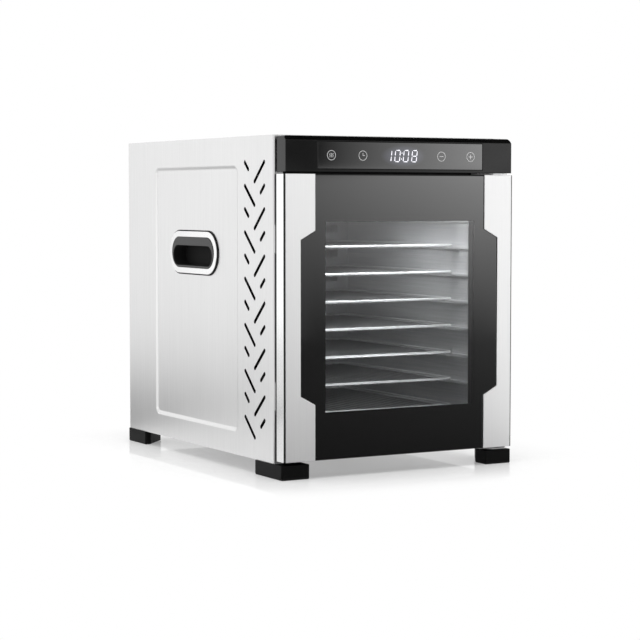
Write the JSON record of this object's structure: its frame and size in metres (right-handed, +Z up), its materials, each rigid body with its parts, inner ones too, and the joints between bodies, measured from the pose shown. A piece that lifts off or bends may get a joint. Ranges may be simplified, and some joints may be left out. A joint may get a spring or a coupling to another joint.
{
  "type": "food dehydrator",
  "caption": "Counter-top food dehydrator: steel cabinet with side vents and grips, glass door hinged on its right, control strip above it, and wire trays in front of a rear fan.",
  "frame": {"origin": "on the floor, under the middle of the whole object's box", "axes": "+X to the right seen from the front, +Y from the door to the back, +Z up"},
  "size_m": [0.3336, 0.458, 0.415],
  "materials": {
    "stainless": "fine brushed stainless sheet",
    "black_coat": "matt black coating on sheet steel",
    "zinc_sheet": "bright zinc-coated sheet",
    "liner_steel": "satin stainless sheet",
    "bright_rim": "satin bright plating",
    "moulded_black": "fine matt moulding",
    "gloss_black": "smooth black moulding",
    "door_glass": "tempered glass with a black printed border",
    "control_glass": "black printed glass",
    "gasket_silicone": "soft black silicone",
    "foot_rubber": "matt black rubber",
    "circuit_board": "green solder mask",
    "display_black": "black display block",
    "motor_steel": "laminated steel",
    "coil_copper": "lacquered copper winding",
    "mica": "pressed mica",
    "heater_alloy": "dull resistance ribbon",
    "phenolic": "brown phenolic",
    "bracket_steel": "plain bright steel",
    "pin_steel": "turned bright steel",
    "bush_nylon": "natural nylon",
    "magnet": "dark ferrite",
    "fan_aluminium": "pressed aluminium",
    "tray_wire": "bright plated wire"
  },
  "bodies": {
    "cabinet": {"left_side_panel": "stainless", "right_side_panel": "stainless", "top_panel": "stainless", "front_frame": "black_coat", "base_pan": "zinc_sheet", "back_panel": "zinc_sheet", "fan_housing": "zinc_sheet", "left_liner": "liner_steel", "right_liner": "liner_steel", "liner_floor": "liner_steel", "liner_ceiling": "liner_steel", "fan_baffle": "liner_steel", "grip_bezels": "bright_rim", "grip_cups": "moulded_black", "cord_gland": "moulded_black", "control_bezel": "gloss_black", "control_glass": "control_glass", "door_gasket": "gasket_silicone", "front_left_foot": "foot_rubber", "front_right_foot": "foot_rubber", "rear_left_foot": "foot_rubber", "rear_right_foot": "foot_rubber", "control_board": "circuit_board", "power_board": "circuit_board", "display_module": "display_black", "fan_motor": "motor_steel", "motor_coil": "coil_copper", "heater_frame": "mica", "heater_ribbon": "heater_alloy", "thermal_cutout": "phenolic", "lower_hinge_bracket": "bracket_steel", "upper_hinge_bracket": "bracket_steel", "strike_plates": "bracket_steel", "temperature_probe": "bracket_steel", "hinge_pins": "pin_steel", "back_panel_screws": "pin_steel"},
    "door": {"door_frame": "moulded_black", "door_inner_panel": "liner_steel", "door_glass": "door_glass", "left_door_trim": "stainless", "right_door_trim": "stainless", "left_door_strip": "stainless", "right_door_strip": "stainless", "catch_magnets": "magnet", "hinge_bushes": "bush_nylon"},
    "fan": {"fan_impeller": "fan_aluminium", "fan_shaft": "pin_steel", "fan_nut": "pin_steel"},
    "tray_1": {"tray_1": "tray_wire"},
    "tray_2": {"tray_2": "tray_wire"},
    "tray_3": {"tray_3": "tray_wire"},
    "tray_4": {"tray_4": "tray_wire"},
    "tray_5": {"tray_5": "tray_wire"},
    "tray_6": {"tray_6": "tray_wire"},
    "tray_7": {"tray_7": "tray_wire"},
    "tray_8": {"tray_8": "tray_wire"},
    "tray_9": {"tray_9": "tray_wire"},
    "tray_10": {"tray_10": "tray_wire"}
  },
  "joints": [
    {"name": "door_hinge", "type": "hinge", "parent": "cabinet", "child": "door", "pos_m": [0.1525, -0.22, 0.195], "axis": [0, 0, 1], "range_deg": [0, 110]},
    {"name": "fan_spin", "type": "hinge", "parent": "cabinet", "child": "fan", "pos_m": [0, 0.18, 0.1962], "axis": [0, 1, 0], "continuous": true},
    {"name": "tray_1_slide", "type": "slide", "parent": "cabinet", "child": "tray_1", "axis": [0, -1, 0], "range_m": [0, 0.06]},
    {"name": "tray_2_slide", "type": "slide", "parent": "cabinet", "child": "tray_2", "axis": [0, -1, 0], "range_m": [0, 0.06]},
    {"name": "tray_3_slide", "type": "slide", "parent": "cabinet", "child": "tray_3", "axis": [0, -1, 0], "range_m": [0, 0.06]},
    {"name": "tray_4_slide", "type": "slide", "parent": "cabinet", "child": "tray_4", "axis": [0, -1, 0], "range_m": [0, 0.06]},
    {"name": "tray_5_slide", "type": "slide", "parent": "cabinet", "child": "tray_5", "axis": [0, -1, 0], "range_m": [0, 0.06]},
    {"name": "tray_6_slide", "type": "slide", "parent": "cabinet", "child": "tray_6", "axis": [0, -1, 0], "range_m": [0, 0.06]},
    {"name": "tray_7_slide", "type": "slide", "parent": "cabinet", "child": "tray_7", "axis": [0, -1, 0], "range_m": [0, 0.06]},
    {"name": "tray_8_slide", "type": "slide", "parent": "cabinet", "child": "tray_8", "axis": [0, -1, 0], "range_m": [0, 0.06]},
    {"name": "tray_9_slide", "type": "slide", "parent": "cabinet", "child": "tray_9", "axis": [0, -1, 0], "range_m": [0, 0.06]},
    {"name": "tray_10_slide", "type": "slide", "parent": "cabinet", "child": "tray_10", "axis": [0, -1, 0], "range_m": [0, 0.06]}
  ]
}
